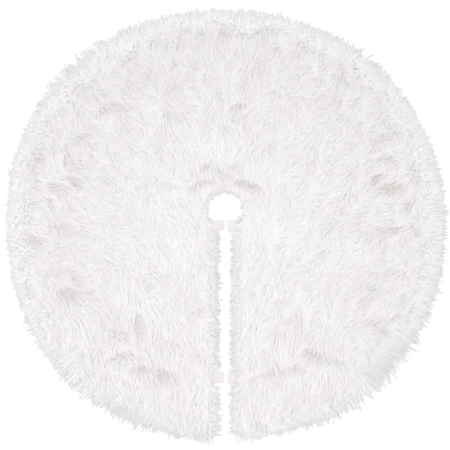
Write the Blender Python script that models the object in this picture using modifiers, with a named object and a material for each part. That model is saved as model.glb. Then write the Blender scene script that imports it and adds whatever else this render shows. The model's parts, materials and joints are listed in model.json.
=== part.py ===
"""A round faux-fur tree skirt: two fur half-discs over a lining, sewn together, with a trunk hole in the
middle, a slit down the front and two pairs of closure tapes across the slit.

Metres, +Z up. The origin is the centre of the trunk hole at floor level, and the slit runs towards -Y.
"""

import math

import bmesh
import bpy

# Driving dimensions
CLOTH_RADIUS = 0.592          # cut edge of the fur cloth
PILE_OVERHANG = 0.008         # how far the solid pile stands past the cut edge
HOLE_RADIUS = 0.054           # trunk hole, cloth to cloth
PILE_TOP = 0.022              # the pile's height above the floor
SLIT_HALF_AT_HOLE = 0.032     # half of the slit's width where it meets the hole
SLIT_HALF_AT_HEM = 0.0285     # the slit narrows a little towards the hem
TAPE_WIDTH = 0.030            # standard hook-and-loop tape
TAPE_THICKNESS = 0.001
TAPE_Y = {"inner": -0.0425, "outer": -0.448}    # middle of each pair of tapes
TAPE_TIP_X = {"left": -0.0003, "right": 0.0055}   # where each tape ends, near the middle of the slit
TAPE_ROOT_LENGTH = 0.022      # length sewn in between fur and lining

# Layers, from the floor up. Touching layers keep CLEARANCE between them.
CLEARANCE = 0.0003
LINING_THICKNESS = 0.0008
THREAD_RADIUS = 0.0002
LINING_SEAM_Z = LINING_THICKNESS + CLEARANCE + THREAD_RADIUS
TAPE_BOTTOM = LINING_THICKNESS + CLEARANCE
TAPE_TOP = TAPE_BOTTOM + TAPE_THICKNESS
TAPE_STITCH_Z = TAPE_TOP + CLEARANCE + THREAD_RADIUS
EDGE_SEAM_Z = TAPE_STITCH_Z + 2 * THREAD_RADIUS + CLEARANCE
FUR_BOTTOM = EDGE_SEAM_Z + THREAD_RADIUS + CLEARANCE

# Smaller sizes that follow from how the skirt is sewn
PANEL_SETBACK = 0.002         # panels stop short of the tapes' fold line, so that a tape can stand up
HALF_SEAM_GAP = 0.0003        # between the two halves, each side of the back seam
SEAM_INSET = 0.0045           # edge seams run this far inside the panels' edges
SEAM_END_GAP = 0.0015         # between the ends of seams that meet
TAPE_FOLD_GAP = 0.0008        # from a tape's fold line to its sewn root
TAPE_FOLD_LAP = 0.0002        # from a tape's fold line to the near end of its free part
TAPE_CORNER_RADIUS = 0.003
PAD_THICKNESS = 0.0006        # loop pile, and hooks
PAD_MARGIN = 0.002            # bare tape beside the pad, at the selvedges and the tip
PAD_START = 0.004             # bare tape from the fold line to the pad
STITCH_BOX = (0.010, 0.020)   # box stitch, across and along the slit
STITCH_BOX_INSET = 0.011      # from the fold line to the middle of the box stitch
TURNING_GAP_DEG = (50.0, 62.0)  # part of the hem closed by hand after turning
LADDER_STITCH_WIDTH = 0.0035
LADDER_STITCHES = 22
RING_STEPS = 96               # sides of a full turn
CUTTER_REACH = 0.7            # larger than the skirt's radius

OUTER_RADIUS = CLOTH_RADIUS + PILE_OVERHANG
SIDES = {"left": -1, "right": 1}


def slit_half_width(y):
    """Half of the slit's width at y, between the tapes' fold lines."""
    share = (-y - HOLE_RADIUS) / (CLOTH_RADIUS - HOLE_RADIUS)
    return SLIT_HALF_AT_HOLE + (SLIT_HALF_AT_HEM - SLIT_HALF_AT_HOLE) * share


def clear_scene():
    for old in list(bpy.data.objects):
        bpy.data.objects.remove(old, do_unlink=True)


def new_collection(name):
    collection = bpy.data.collections.new(name)
    bpy.context.scene.collection.children.link(collection)
    return collection


def new_material(name, color, roughness):
    material = bpy.data.materials.new(name)
    material.use_nodes = True
    shader = material.node_tree.nodes["Principled BSDF"]
    shader.inputs["Base Color"].default_value = (*color, 1.0)
    shader.inputs["Roughness"].default_value = roughness
    shader.inputs["Metallic"].default_value = 0.0
    return material


def add_object(name, data, collection, material=None):
    obj = bpy.data.objects.new(name, data)
    collection.objects.link(obj)
    if material:
        data.materials.append(material)
    return obj


def box_object(name, low, high, collection, material=None):
    """A block between two corners."""
    mesh = bpy.data.meshes.new(name)
    bm = bmesh.new()
    bmesh.ops.create_cube(bm, size=1.0)
    for vertex in bm.verts:
        for axis in range(3):
            vertex.co[axis] = low[axis] if vertex.co[axis] < 0 else high[axis]
    bm.to_mesh(mesh)
    bm.free()
    return add_object(name, mesh, collection, material)


def make_cutter(obj):
    obj.hide_render = True
    obj.display_type = "WIRE"
    return obj


def slit_cutter(collection):
    """A tapered block as wide as the slit between the panels' edges."""
    mesh = bpy.data.meshes.new("slit_cutter")
    bm = bmesh.new()
    bmesh.ops.create_cube(bm, size=1.0)
    for vertex in bm.verts:
        y = 0.0 if vertex.co.y > 0 else -CUTTER_REACH
        side = -1 if vertex.co.x < 0 else 1
        vertex.co.x = side * (slit_half_width(y) + PANEL_SETBACK)
        vertex.co.y = y
        vertex.co.z *= 4 * PILE_TOP
    bm.to_mesh(mesh)
    bm.free()
    return make_cutter(add_object("slit_cutter", mesh, collection))


def half_cutter(side, collection):
    """A block that takes away everything on the other side of the back seam."""
    reach = CUTTER_REACH
    near = SIDES[side] * HALF_SEAM_GAP
    low_x, high_x = (near, reach) if side == "left" else (-reach, near)
    low = (low_x, -reach, -2 * PILE_TOP)
    high = (high_x, reach, 2 * PILE_TOP)
    return make_cutter(box_object(f"{side}_half_cutter", low, high, collection))


def add_boolean(obj, cutter):
    modifier = obj.modifiers.new(cutter.name, "BOOLEAN")
    modifier.operation = "DIFFERENCE"
    modifier.solver = "EXACT"
    modifier.object = cutter


def half_ring(name, section, cutters, collection, material):
    """A turned ring of a closed (radius, z) section, with the other half and the slit cut away."""
    mesh = bpy.data.meshes.new(name)
    points = [(radius, 0.0, z) for radius, z in section]
    edges = [(i, (i + 1) % len(points)) for i in range(len(points))]
    mesh.from_pydata(points, edges, [])
    obj = add_object(name, mesh, collection, material)
    screw = obj.modifiers.new("turn", "SCREW")
    screw.axis = "Z"
    screw.angle = 2 * math.pi
    screw.steps = RING_STEPS
    screw.render_steps = RING_STEPS
    screw.use_merge_vertices = True
    screw.merge_threshold = 0.00001
    for cutter in cutters:
        add_boolean(obj, cutter)
    return obj


def corner(centre, radius, start_deg, end_deg, steps):
    """Points along a round corner, as (first, second) pairs."""
    angles = [math.radians(start_deg + (end_deg - start_deg) * i / steps) for i in range(steps + 1)]
    return [(centre[0] + radius * math.cos(a), centre[1] + radius * math.sin(a)) for a in angles]


def fur_section():
    """Flat underneath, with the pile rounded over the hem and, more tightly, over the trunk hole."""
    hem_round = (PILE_TOP - FUR_BOTTOM) / 2
    hem_middle = (OUTER_RADIUS - hem_round, (PILE_TOP + FUR_BOTTOM) / 2)
    hole_round = 0.006
    hole_middle = (HOLE_RADIUS + hole_round, PILE_TOP - hole_round)
    section = [(HOLE_RADIUS, FUR_BOTTOM)]
    section += corner(hole_middle, hole_round, 180, 90, 3)
    section += corner(hem_middle, hem_round, 90, -60, 5)
    section.append((CLOTH_RADIUS - SEAM_INSET, FUR_BOTTOM))
    return section


def lining_section():
    outer = CLOTH_RADIUS - 0.001
    inner = HOLE_RADIUS + 0.001
    return [(inner, 0.0), (inner, LINING_THICKNESS), (outer, LINING_THICKNESS), (outer, 0.0)]


def thread(name, points, collection, material, cyclic=False):
    """A sewing thread along points."""
    curve = bpy.data.curves.new(name, "CURVE")
    curve.dimensions = "3D"
    curve.bevel_depth = THREAD_RADIUS
    curve.bevel_resolution = 1
    curve.use_fill_caps = not cyclic
    spline = curve.splines.new("POLY")
    spline.points.add(len(points) - 1)
    for target, point in zip(spline.points, points):
        target.co = (*point, 1.0)
    spline.use_cyclic_u = cyclic
    return add_object(name, curve, collection, material)


def arc_points(radius, start_deg, end_deg, z, step_deg):
    count = max(2, round(abs(end_deg - start_deg) / step_deg))
    angles = [math.radians(start_deg + (end_deg - start_deg) * i / count) for i in range(count + 1)]
    return [(radius * math.cos(a), radius * math.sin(a), z) for a in angles]


def seam_x(y):
    """Distance of a slit seam from the middle of the slit."""
    return slit_half_width(y) + PANEL_SETBACK + SEAM_INSET


def slit_angle_deg(radius):
    """Angle, past straight down, at which an arc of this radius meets the slit's seam."""
    return math.degrees(math.asin(seam_x(-radius) / radius))


def hem_seams(side, collection, material):
    """The seam round the hem. On the right it stops either side of the turning gap."""
    radius = CLOTH_RADIUS - SEAM_INSET - 0.001
    end_deg = math.degrees(SEAM_END_GAP / radius)
    start = -90 + slit_angle_deg(radius) + end_deg
    stop = 90 - end_deg
    runs = {"hem_seam_left": (180 - start, 180 - stop)}
    if side == "right":
        runs = {
            "hem_seam_right_front": (start, TURNING_GAP_DEG[0]),
            "hem_seam_right_back": (TURNING_GAP_DEG[1], stop),
        }
    for name, (first, last) in runs.items():
        thread(name, arc_points(radius, first, last, EDGE_SEAM_Z, 4.0), collection, material)


def hole_seam(side, collection, material):
    radius = HOLE_RADIUS + SEAM_INSET
    end_deg = math.degrees(SEAM_END_GAP / radius)
    start = -90 + slit_angle_deg(radius) + end_deg
    stop = 90 - end_deg
    if side == "left":
        start, stop = 180 - start, 180 - stop
    points = arc_points(radius, start, stop, EDGE_SEAM_Z, 9.0)
    thread(f"trunk_hole_seam_{side}", points, collection, material)


def slit_seam(side, collection, material):
    """The seam down one edge of the slit. It passes over the roots of the tapes."""
    ends = (-HOLE_RADIUS + SEAM_INSET, -CLOTH_RADIUS + 2 * SEAM_INSET)
    points = [(SIDES[side] * seam_x(y), y, EDGE_SEAM_Z) for y in ends]
    thread(f"slit_seam_{side}", points, collection, material)


def back_seams(collection, material):
    """The seams that join the left and right halves, behind the hole."""
    ends = (HOLE_RADIUS + SEAM_INSET, CLOTH_RADIUS - 2 * SEAM_INSET)
    for name, z in (("lining_back_seam", LINING_SEAM_Z), ("fur_back_seam", EDGE_SEAM_Z)):
        thread(name, [(0.0, y, z) for y in ends], collection, material)


def turning_gap_stitch(collection, material):
    """Hand stitches to and fro between fur and lining, across the turning gap."""
    outer = CLOTH_RADIUS - SEAM_INSET
    inner = outer - LADDER_STITCH_WIDTH
    margin_deg = math.degrees(2 * SEAM_END_GAP / outer)
    first = TURNING_GAP_DEG[0] + margin_deg
    last = TURNING_GAP_DEG[1] - margin_deg
    points = []
    for i in range(2 * LADDER_STITCHES + 1):
        angle = math.radians(first + (last - first) * i / (2 * LADDER_STITCHES))
        radius = outer if i % 2 else inner
        points.append((radius * math.cos(angle), radius * math.sin(angle), EDGE_SEAM_Z))
    thread("turning_gap_stitch", points, collection, material)


def flat_plate(name, outline, low_z, high_z, collection, material):
    """A plate with the given (x, y) outline."""
    curve = bpy.data.curves.new(name, "CURVE")
    curve.dimensions = "2D"
    curve.fill_mode = "BOTH"
    curve.extrude = (high_z - low_z) / 2
    spline = curve.splines.new("POLY")
    spline.points.add(len(outline) - 1)
    for target, (x, y) in zip(spline.points, outline):
        target.co = (x, y, 0.0, 1.0)
    spline.use_cyclic_u = True
    obj = add_object(name, curve, collection, material)
    obj.location.z = (low_z + high_z) / 2
    return obj


def tongue_outline(base_x, tip_x, middle_y, width, radius):
    """A rectangle from base_x to tip_x with its two tip corners rounded."""
    half = width / 2
    turn = 1 if tip_x > base_x else -1
    outline = [(base_x, middle_y - half)]
    for side in (-1, 1):
        centre = (tip_x - turn * radius, middle_y + side * (half - radius))
        start = -90 if side < 0 else 0
        points = corner((0.0, 0.0), radius, start, start + 90, 3)
        outline += [(centre[0] + turn * x, centre[1] + y) for x, y in points]
    outline.append((base_x, middle_y + half))
    return outline


def closure_tape(side, place, collection, materials):
    """One tape: its sewn root, the box stitch over it, the free part, and its hooks or loops."""
    sign = SIDES[side]
    y = TAPE_Y[place]
    fold_x = sign * slit_half_width(y)
    half = TAPE_WIDTH / 2

    near, far = fold_x + sign * TAPE_FOLD_GAP, fold_x + sign * TAPE_ROOT_LENGTH
    low = (min(near, far), y - half, TAPE_BOTTOM)
    high = (max(near, far), y + half, TAPE_TOP)
    box_object(f"{place}_tape_root_{side}", low, high, collection, materials["tape"])

    middle = fold_x + sign * STITCH_BOX_INSET
    across, along = STITCH_BOX[0] / 2, STITCH_BOX[1] / 2
    loop = [(-across, -along), (across, -along), (across, along), (-across, along)]
    stitch = [(middle + dx, y + dy, TAPE_STITCH_Z) for dx, dy in loop]
    name = f"{place}_tape_stitch_{side}"
    thread(name, stitch, collection, materials["thread"], cyclic=True)

    tip_x = TAPE_TIP_X[side]
    outline = tongue_outline(fold_x + sign * TAPE_FOLD_LAP, tip_x, y, TAPE_WIDTH, TAPE_CORNER_RADIUS)
    name = f"{place}_tape_{side}"
    flat_plate(name, outline, TAPE_BOTTOM, TAPE_TOP, collection, materials["tape"])

    base = fold_x - sign * PAD_START
    tip = tip_x + sign * PAD_MARGIN
    outline = tongue_outline(base, tip, y, TAPE_WIDTH - 2 * PAD_MARGIN, TAPE_CORNER_RADIUS - PAD_MARGIN / 2)
    if side == "left":
        low_z = TAPE_TOP + CLEARANCE
        name, material = f"{place}_loop_pile_{side}", materials["loop"]
    else:
        low_z = TAPE_BOTTOM - CLEARANCE - PAD_THICKNESS
        name, material = f"{place}_hook_pad_{side}", materials["hook"]
    flat_plate(name, outline, low_z, low_z + PAD_THICKNESS, collection, material)


def main():
    clear_scene()
    skirt = new_collection("tree_skirt")
    cutters = new_collection("cutters")
    materials = {
        "fur": new_material("fur", (0.88, 0.865, 0.865), 0.95),
        "lining": new_material("lining", (0.86, 0.86, 0.86), 0.85),
        "thread": new_material("thread", (0.85, 0.85, 0.85), 0.6),
        "tape": new_material("tape", (0.86, 0.82, 0.86), 0.7),
        "loop": new_material("loop", (0.87, 0.83, 0.87), 0.95),
        "hook": new_material("hook", (0.83, 0.80, 0.84), 0.45),
    }
    slit = slit_cutter(cutters)
    for side in SIDES:
        half = half_cutter(side, cutters)
        half_ring(f"fur_panel_{side}", fur_section(), (half, slit), skirt, materials["fur"])
        half_ring(f"lining_{side}", lining_section(), (half, slit), skirt, materials["lining"])
        hem_seams(side, skirt, materials["thread"])
        hole_seam(side, skirt, materials["thread"])
        slit_seam(side, skirt, materials["thread"])
        for place in TAPE_Y:
            closure_tape(side, place, skirt, materials)
    back_seams(skirt, materials["thread"])
    turning_gap_stitch(skirt, materials["thread"])


main()
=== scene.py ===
"""The looks of a white faux-fur tree skirt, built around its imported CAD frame.

Metres, +Z up. The skirt lies on the floor with its lining down. The slit runs towards -Y and the back
seam towards +Y. Every strand of the fur is its own small tapered solid.
"""
import json
import math

import bpy
import numpy as np
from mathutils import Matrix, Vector


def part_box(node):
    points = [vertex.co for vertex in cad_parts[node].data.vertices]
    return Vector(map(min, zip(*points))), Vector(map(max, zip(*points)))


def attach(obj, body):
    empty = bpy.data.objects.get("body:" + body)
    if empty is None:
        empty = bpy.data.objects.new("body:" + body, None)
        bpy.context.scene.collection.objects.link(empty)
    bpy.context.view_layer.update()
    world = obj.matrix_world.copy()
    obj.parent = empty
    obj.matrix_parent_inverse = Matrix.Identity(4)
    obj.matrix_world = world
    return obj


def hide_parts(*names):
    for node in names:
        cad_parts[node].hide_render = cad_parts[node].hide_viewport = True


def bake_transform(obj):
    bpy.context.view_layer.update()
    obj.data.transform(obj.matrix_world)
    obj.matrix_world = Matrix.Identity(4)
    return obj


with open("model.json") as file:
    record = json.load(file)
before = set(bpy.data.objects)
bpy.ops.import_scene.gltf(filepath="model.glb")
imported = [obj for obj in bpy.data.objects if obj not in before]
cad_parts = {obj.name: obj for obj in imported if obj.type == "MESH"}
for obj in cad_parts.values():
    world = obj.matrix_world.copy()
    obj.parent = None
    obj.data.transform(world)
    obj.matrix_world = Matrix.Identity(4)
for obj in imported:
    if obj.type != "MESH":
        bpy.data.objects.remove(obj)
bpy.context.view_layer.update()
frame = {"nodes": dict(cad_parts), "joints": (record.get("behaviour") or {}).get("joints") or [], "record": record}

# Sizes read from the frame
FUR_LOW, FUR_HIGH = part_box("fur_panel_left")
LINING_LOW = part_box("lining_left")[0]
TAPE_LOW, TAPE_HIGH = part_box("inner_tape_left")
JOINTS = {joint["name"]: joint for joint in frame["joints"]}
OPENINGS = {opening["name"]: opening["box_m"] for opening in frame["record"]["physics"]["openings"]}
HOLE_CORNER = OPENINGS["trunk_hole"][1]
HOLE_RADIUS = math.hypot(HOLE_CORNER[0], HOLE_CORNER[1]) + 0.0015   # the opening stops 1.5 mm short of it
CLOTH_RADIUS = -LINING_LOW[0] + 0.001       # the lining stops 1 mm inside the fur cloth
PILE_TOP = FUR_HIGH[2]
BACKING_BOTTOM = FUR_LOW[2]
TAPE_HALF_WIDTH = (TAPE_HIGH[1] - TAPE_LOW[1]) / 2
INNER_FOLD = JOINTS["inner_tab_left_lift"]["pos_m"]
OUTER_FOLD = JOINTS["outer_tab_left_lift"]["pos_m"]
PANEL_SETBACK = 0.002         # the panels stop this far behind the tapes' fold lines

SEED = 20
GAP_SEED = 5
WAVE_COUNT = 22               # plane waves in each smooth random field

# Cloth
BACKING_THICKNESS = 0.001
LINING_THICKNESS = 0.0008
BACKING_INSET = 0.0005        # the backing stops this far inside the cut edge
LINING_INSET = 0.001
TURNED_WIDTH = 0.006          # along the sewn edges the two cloths are drawn together
TURNED_HEIGHT = 0.0014        # how far the lining rises there to meet the backing
CREASE_HEIGHT = 0.0011        # of the soft creases in the lining
PUCKER_HEIGHT = 0.0006        # where the lining is drawn in along the hem
PUCKER_SPACING = 0.030
RADIAL_STEPS = 140            # the cloth's grid, from the hole to the hem
AROUND_STEPS = 310            # across one half
BACK_STEPS = 40               # across the band behind the hole

# Closure tapes
SIDES = {"left": -1, "right": 1}
PLACES = ("inner", "outer")
TAPE_COVERED = 0.003          # how far the pile may lie over a tape's free part
TAPE_CORNER = 0.003           # radius of a tape's cut corners
TAPE_RIB = 0.0009             # from rib to rib across a tape
SELVEDGE = 0.0016             # the plain edge of a tape
TAPE_RIB_HEIGHT = 0.00006
TAPE_SINK = {"left": 0.0008, "right": 0.0}    # how far a tape's tip sinks towards the floor
LOOP_SPACING = 0.0009
LOOP_SPAN = 0.0009            # from foot to foot
LOOP_WIDTH = 0.00014
HOOK_SPACING = 0.0015
HOOK_SPAN = 0.0006            # from foot to tip
HOOK_WIDTH = 0.00022
FIBRE_FOOT = 0.0002           # how far a fibre's foot is set into its tape

# Fur
TOP_SPACING = 0.0025          # between top-coat roots
TOP_LENGTH = 0.036
TOP_WIDTH = 0.0009
LOCK_SPACING = 0.0045         # between the locks that strands gather into
UNDER_SPACING = 0.0036
PARTING_SPACING = 0.0028      # between the extra undercoat roots where the nap parts
UNDER_LENGTH = 0.016
UNDER_WIDTH = 0.0021
GAP_SPACING = 0.030           # between the narrow gaps that show the pile's depth
GAP_LENGTH = 0.007
GAP_WIDTH = 0.0018
RUFFLE_GAP_SPACING = 0.012
RUFFLE_GAP_LENGTH = 0.006
RUFFLE_GAP_WIDTH = 0.0021
FLATNESS = 0.2                # a strand's thickness over its width
CEILING = PILE_TOP + 0.001    # strands are pressed down softly above this
CEILING_GIVE = 0.35           # share of a strand's height above the ceiling that is left
FLOOR_CLEARANCE = 0.0006      # of strands that hang past the cloth
ROOT_DEPTH = 0.0005           # how far a strand's root is set into the backing
STRAND_TINT_SPREAD = 0.04
MAX_FACES = 190000            # per piece

# The locks over each edge of the cloth. Sizes in metres; rise and droop are slopes in degrees. Their tint
# is a grey on the fur's map, painted shade on the thin hanging locks.
FRINGES = {
    "hem": dict(spacing=0.0042, per_lock=16, depth=0.009, length=0.0290, lock_spread=0.0012,
                rise=14, droop=-18, tint=0.115, ragged=0.16, pull=0.92),
    "hole": dict(spacing=0.0060, per_lock=12, depth=0.004, length=0.0125, lock_spread=0.0007,
                 rise=25, droop=-20, tint=0.02, ragged=0.35, pull=0.92),
    "slit": dict(spacing=0.0038, per_lock=14, depth=0.008, length=0.025, lock_spread=0.0009,
                 rise=18, droop=-16, tint=0.05, ragged=0.15, pull=0.9),
}

# The two families of tint on the fur's map
GREY_TINT = 0.26
WARM_TINT = 0.32

# Behind the hole the skirt bends between these two x when the right half folds over the left
BEND_START, BEND_END = 0.0, HOLE_RADIUS - 0.002
BEND_REACH = 0.034, 0.010     # strands rooted this far to the left and right of the bend go into the share behind the hole


def smoothstep(low, high, value):
    t = np.clip((value - low) / (high - low), 0, 1)
    return t * t * (3 - 2 * t)


def waves(x, y, wavelength, seed):
    """A smooth random field of about unit spread: plane waves of roughly one wavelength, every way."""
    random = np.random.default_rng(seed)
    turn = random.uniform(0, 2 * math.pi, WAVE_COUNT)
    rate = 2 * math.pi / wavelength * random.uniform(0.65, 1.35, WAVE_COUNT)
    phase = random.uniform(0, 2 * math.pi, WAVE_COUNT)
    total = np.zeros_like(x)
    for i in range(WAVE_COUNT):
        total += np.cos(rate[i] * (np.cos(turn[i]) * x + np.sin(turn[i]) * y) + phase[i])
    return total * math.sqrt(2 / WAVE_COUNT)


# ---------------------------------------------------------------- the outline of the cloth

def slit_half_width(y):
    """Half of the slit's width, on the line through the two tapes' folds."""
    share = (y - INNER_FOLD[1]) / (OUTER_FOLD[1] - INNER_FOLD[1])
    return -INNER_FOLD[0] - (OUTER_FOLD[0] - INNER_FOLD[0]) * share


def panel_edge(y):
    return slit_half_width(y) + PANEL_SETBACK


CORNER_Y = -math.sqrt(HOLE_RADIUS**2 - panel_edge(-HOLE_RADIUS) ** 2)    # where the slit meets the hole


def edge_distances(x, y):
    """How far inside the cloth a point is, from the hem, the trunk hole and the slit."""
    radius = np.hypot(x, y)
    slit = np.where(y < 0, np.abs(x) - panel_edge(y), 1.0)
    return CLOTH_RADIUS - radius, radius - HOLE_RADIUS, slit


def beside_tapes(y, margin=0.003):
    """1 along the slit, and 0 where a closure tape leaves it."""
    clear = np.ones_like(y)
    for fold in (INNER_FOLD, OUTER_FOLD):
        away = np.abs(y - fold[1]) - TAPE_HALF_WIDTH
        clear = np.minimum(clear, smoothstep(0.0, margin, away))
    return clear


# ---------------------------------------------------------------- how the nap lies

# Spots where the pile is ruffled: x, y, half length, half width, the way it runs in degrees, and strength.
# A negative strength is a whiter spot on the fur's tint, painted light where the pile lies smooth.
RUFFLES = [
    # the back
    (0.000, 0.535, 0.022, 0.014, 0, 0.8), (-0.160, 0.510, 0.018, 0.012, 20, 0.8),
    (-0.150, 0.440, 0.022, 0.012, 40, 0.7), (-0.150, 0.365, 0.030, 0.022, 80, 0.8),
    (-0.285, 0.355, 0.045, 0.030, -10, 0.6), (-0.335, 0.295, 0.038, 0.016, 12, 0.9),
    (-0.410, 0.430, 0.032, 0.020, 25, 0.8), (-0.450, 0.365, 0.045, 0.022, 15, 0.8),
    (0.045, 0.310, 0.022, 0.013, 15, 1.1), (0.055, 0.365, 0.016, 0.028, 0, 0.7),
    (0.060, 0.282, 0.016, 0.009, 10, 0.9), (0.030, 0.268, 0.014, 0.009, -20, 0.8),
    (0.120, 0.270, 0.060, 0.025, 0, 0.45), (0.350, 0.382, 0.032, 0.014, -32, 1.0),
    (0.140, 0.350, 0.030, 0.018, 0, 0.45), (-0.150, 0.270, 0.035, 0.025, 0, 0.45),
    (0.240, 0.540, 0.045, 0.016, -20, 0.5), (0.455, 0.210, 0.040, 0.012, -5, 0.6),
    (-0.450, 0.175, 0.012, 0.030, 0, 0.7), (-0.415, 0.212, 0.028, 0.012, 10, 0.6),
    # beside the trunk hole
    (-0.072, 0.078, 0.034, 0.013, 24, 1.6), (0.062, 0.078, 0.034, 0.013, -22, 1.6),
    (-0.050, 0.130, 0.024, 0.014, -10, 0.8), (0.034, 0.130, 0.024, 0.014, 10, 0.8),
    (0.000, 0.098, 0.032, 0.022, 0, 0.5), (-0.015, 0.055, 0.030, 0.010, 0, 0.5),
    (0.000, 0.185, 0.075, 0.026, 0, -0.7), (-0.150, 0.020, 0.060, 0.050, 0, -0.4),
    (0.150, 0.020, 0.060, 0.050, 0, -0.4), (-0.160, -0.080, 0.080, 0.060, 0, -0.5),
    (0.150, -0.080, 0.080, 0.060, 0, -0.5),
    # the left side
    (-0.530, 0.145, 0.018, 0.012, -30, 1.0), (-0.552, 0.122, 0.022, 0.014, 0, 0.9),
    (-0.468, 0.062, 0.028, 0.014, -15, 1.1), (-0.424, 0.082, 0.020, 0.010, -40, 0.9),
    (-0.492, 0.022, 0.020, 0.009, -65, 1.2), (-0.455, -0.050, 0.032, 0.013, -15, 0.8),
    (-0.568, -0.115, 0.024, 0.010, -60, 1.3), (-0.535, -0.086, 0.032, 0.012, -5, 0.9),
    (-0.470, -0.170, 0.026, 0.018, 10, 0.7), (-0.405, -0.190, 0.030, 0.012, -55, 0.8),
    (-0.420, -0.230, 0.042, 0.018, -12, 1.2), (-0.230, -0.300, 0.014, 0.032, 0, 0.8),
    (-0.080, -0.272, 0.036, 0.020, 0, 0.6), (-0.270, -0.390, 0.032, 0.014, 0, 1.5),
    (-0.218, -0.418, 0.026, 0.012, 0, 1.5), (-0.165, -0.430, 0.030, 0.015, -20, 1.2),
    (-0.205, -0.452, 0.040, 0.010, 0, 0.7), (-0.290, -0.335, 0.022, 0.018, 0, 0.7),
    (-0.150, -0.352, 0.036, 0.018, 20, 0.6), (-0.075, -0.382, 0.034, 0.016, 0, 0.6),
    (-0.332, -0.478, 0.010, 0.022, 0, 0.9), (-0.270, -0.508, 0.034, 0.010, 0, 0.7),
    (-0.075, -0.545, 0.024, 0.014, -30, 0.6),
    # the right side
    (0.085, -0.560, 0.028, 0.018, 0, 1.2), (0.135, -0.425, 0.034, 0.014, 20, 1.3),
    (0.190, -0.416, 0.022, 0.010, 0, 1.4), (0.145, -0.455, 0.028, 0.010, 0, 0.7),
    (0.240, -0.385, 0.032, 0.016, -10, 1.4), (0.290, -0.398, 0.026, 0.012, -15, 0.7),
    (0.405, -0.315, 0.034, 0.016, -35, 1.6), (0.445, -0.290, 0.034, 0.009, 0, 1.3),
    (0.410, -0.215, 0.028, 0.014, -20, 0.6), (0.385, -0.240, 0.026, 0.013, 50, 0.5),
    (0.482, -0.240, 0.010, 0.018, 0, 0.8), (0.450, -0.170, 0.028, 0.016, -10, 0.7),
    (0.230, -0.210, 0.012, 0.026, 20, 0.8), (0.160, -0.240, 0.022, 0.009, 0, 0.7),
    (0.195, -0.290, 0.016, 0.026, 0, 0.7), (0.050, -0.215, 0.028, 0.018, 0, 0.5),
    (0.160, -0.330, 0.050, 0.024, 0, 0.4), (0.365, -0.440, 0.026, 0.014, 20, 0.9),
    (0.305, -0.500, 0.030, 0.020, 50, 0.6), (0.440, -0.390, 0.030, 0.014, -20, 0.8),
    (0.470, 0.065, 0.034, 0.014, 12, 1.1), (0.430, 0.088, 0.022, 0.010, 45, 0.8),
    (0.505, 0.010, 0.012, 0.018, 0, 1.1), (0.465, -0.055, 0.034, 0.010, 8, 0.8),
    (0.465, 0.145, 0.040, 0.014, -5, 0.7), (0.345, 0.045, 0.030, 0.012, 30, 0.5),
]


HEM_REACH = 0.032             # how far in from the hem the hair turns out over it

# Where that hair reaches further in: direction and half width in degrees, and how much further
HEM_PATCHES = [(-43, 9, 0.050), (-113, 12, 0.024), (75, 14, 0.010), (118, 16, 0.012), (-8, 10, 0.010)]

# The outline is a little square: where its hair stands out from a circle or falls short, given the same way
HEM_BULGES = [
    (46, 13, 0.012), (136, 20, 0.019), (230, 13, 0.009), (303, 9, 0.015), (333, 10, 0.004),
    (186, 17, -0.012), (90, 14, -0.005), (282, 9, -0.009), (256, 8, -0.005), (352, 10, -0.004),
]


def round_hem(bumps, x, y):
    """The sum of smooth bumps in each point's direction, from a list like those above."""
    direction = np.degrees(np.arctan2(y, x))
    total = np.zeros_like(direction)
    for middle, half_width, height in bumps:
        away = (direction - middle + 180) % 360 - 180
        total += height * np.exp(-((away / half_width) ** 2))
    return total


def hem_reach(x, y):
    """How far in from the hem the pile turns out over it."""
    uneven = 1 + 0.3 * waves(x, y, 0.10, 51) + 0.15 * waves(x, y, 0.035, 52)
    return (HEM_REACH + round_hem(HEM_PATCHES, x, y)) * np.clip(uneven, 0.3, 2.2)


def in_ruffle(spot, x, y):
    """How far x, y is from the middle of a ruffle, along and across it, in its half length and half width."""
    spot_x, spot_y, half_length, half_width, turn, _ = spot
    turn = math.radians(turn)
    along = ((x - spot_x) * math.cos(turn) + (y - spot_y) * math.sin(turn)) / half_length
    across = (-(x - spot_x) * math.sin(turn) + (y - spot_y) * math.cos(turn)) / half_width
    return along, across, turn


def nap_heading(x, y, choice):
    """The way the pile lies: from the back towards the slit's end, leaning in to the middle. Near the hem,
    hair with a high choice (0 to 1) keeps to the nap and the rest turns out over the edge."""
    lean = 50 + 15 * np.exp(-(((y + 0.06) / 0.1) ** 2)) - 20 * smoothstep(-0.22, -0.4, y)
    angle = -90 - lean * np.tanh(x / 0.25)
    angle = np.radians(angle + 12 * waves(x, y, 0.15, 3) + 9 * waves(x, y, 0.06, 4))
    way = np.stack([np.cos(angle), np.sin(angle)], 1)
    for spot in RUFFLES:
        along, across, turn = in_ruffle(spot, x, y)
        pull = 1.6 * max(spot[5], 0) * np.exp(-(along**2) - across**2)
        way[:, 0] += pull * (along * math.cos(turn) - across * math.sin(turn))
        way[:, 1] += pull * (along * math.sin(turn) + across * math.cos(turn))
    hem, hole, slit = edge_distances(x, y)
    outward = np.stack([x, y], 1) / np.maximum(np.hypot(x, y), 1e-6)[:, None]
    to_slit = np.stack([-np.sign(x), np.full_like(y, -0.25)], 1)
    along_slit = np.stack([np.zeros_like(x), -np.ones_like(y)], 1)
    for vector, weight in (
        (outward, smoothstep(-0.12, 0.12, smoothstep(1.55, 0.45, hem / hem_reach(x, y)) - choice)),
        (-outward, smoothstep(0.014, 0.004, hole)),
        (along_slit, smoothstep(0.036, 0.018, slit) * (1 - beside_tapes(y, 0.014))),
        (to_slit, smoothstep(0.016, 0.006, slit) * beside_tapes(y)),
    ):
        way = way * (1 - weight)[:, None] + vector * weight[:, None]
    return np.arctan2(way[:, 1], way[:, 0])


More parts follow.
